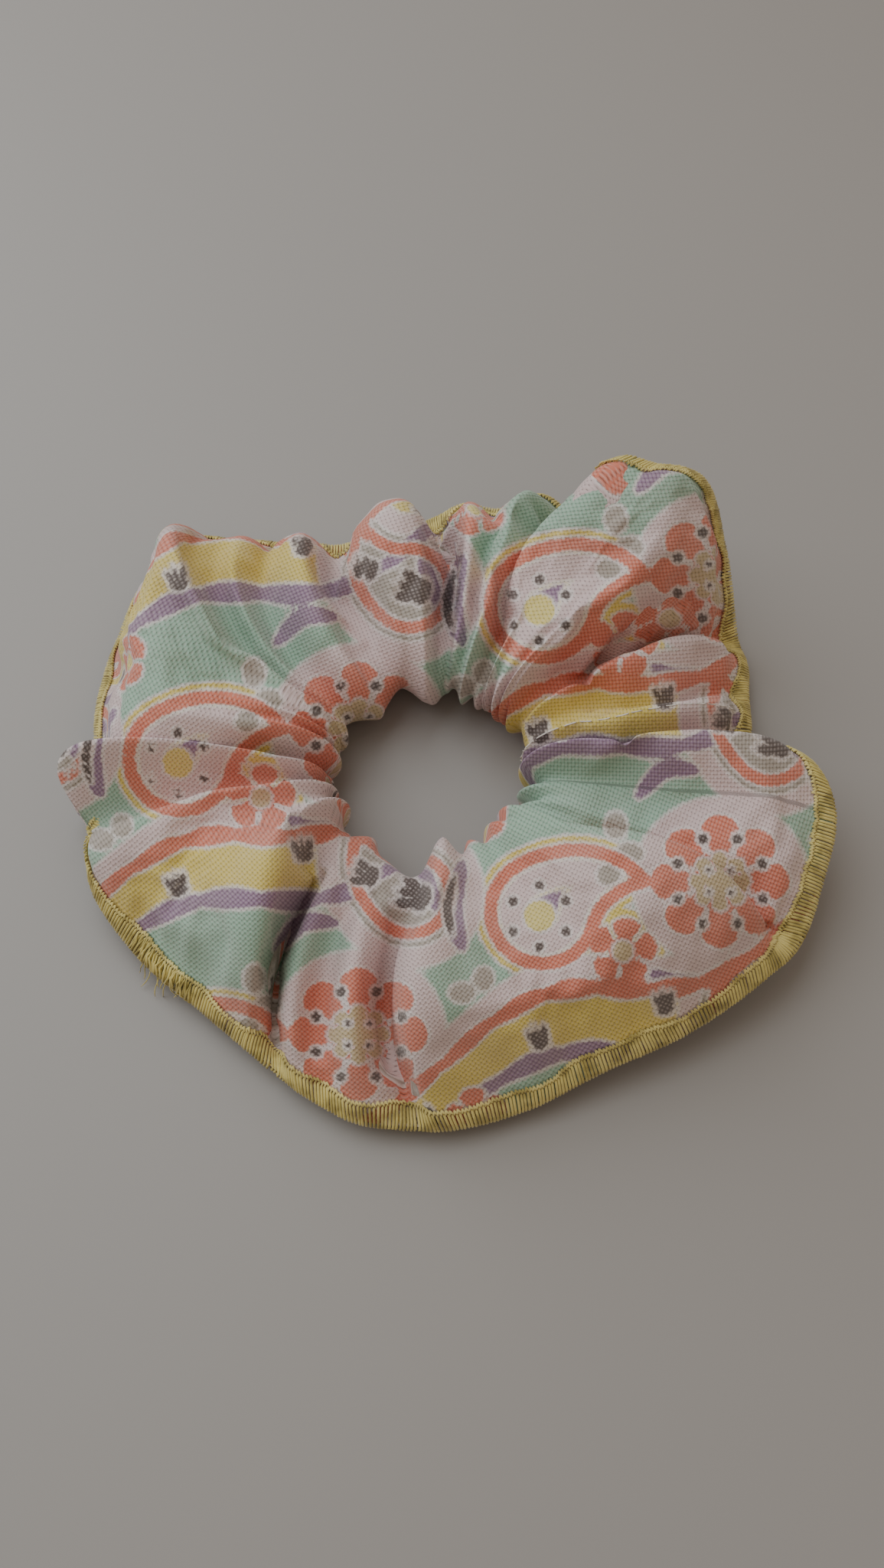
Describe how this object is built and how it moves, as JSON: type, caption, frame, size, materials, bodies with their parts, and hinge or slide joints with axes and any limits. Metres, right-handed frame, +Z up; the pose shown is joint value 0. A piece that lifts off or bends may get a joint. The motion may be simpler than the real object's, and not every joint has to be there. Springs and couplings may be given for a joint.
{
  "type": "scrunchie",
  "caption": "Ruffled fabric hair tie: a printed cotton tube gathered over an elastic loop, with an overlocked outer edge.",
  "frame": {"origin": "on the table surface, under the middle of the ponytail hole, at the bottom centre of the part's box", "axes": "+Z up out of the table along the ponytail hole's axis, +X to the right and -Y to the front of the part as it lies"},
  "size_m": [0.1089, 0.1038, 0.0323],
  "materials": {
    "printed_cotton": "matt plain-weave cotton with a pastel flower and paisley print",
    "white_thread": "matt spun thread",
    "yellow_needle_thread": "soft sheen spun thread",
    "yellow_looper_thread": "soft sheen textured thread",
    "elastic": "braided elastic",
    "dark_thread": "matt spun thread"
  },
  "bodies": {
    "cover": {"fabric_cover": "printed_cotton", "closing_seam_stitches": "white_thread", "needle_thread": "yellow_needle_thread", "upper_looper_thread": "yellow_looper_thread", "lower_looper_thread": "yellow_looper_thread", "thread_tails": "yellow_looper_thread"},
    "elastic": {"elastic_loop": "elastic", "elastic_join_stitches": "dark_thread"}
  },
  "joints": [
    {"name": "elastic_slip", "type": "hinge", "parent": "cover", "child": "elastic", "pos_m": [0, 0, 0.0075], "axis": [0, 0, 1], "continuous": true}
  ]
}
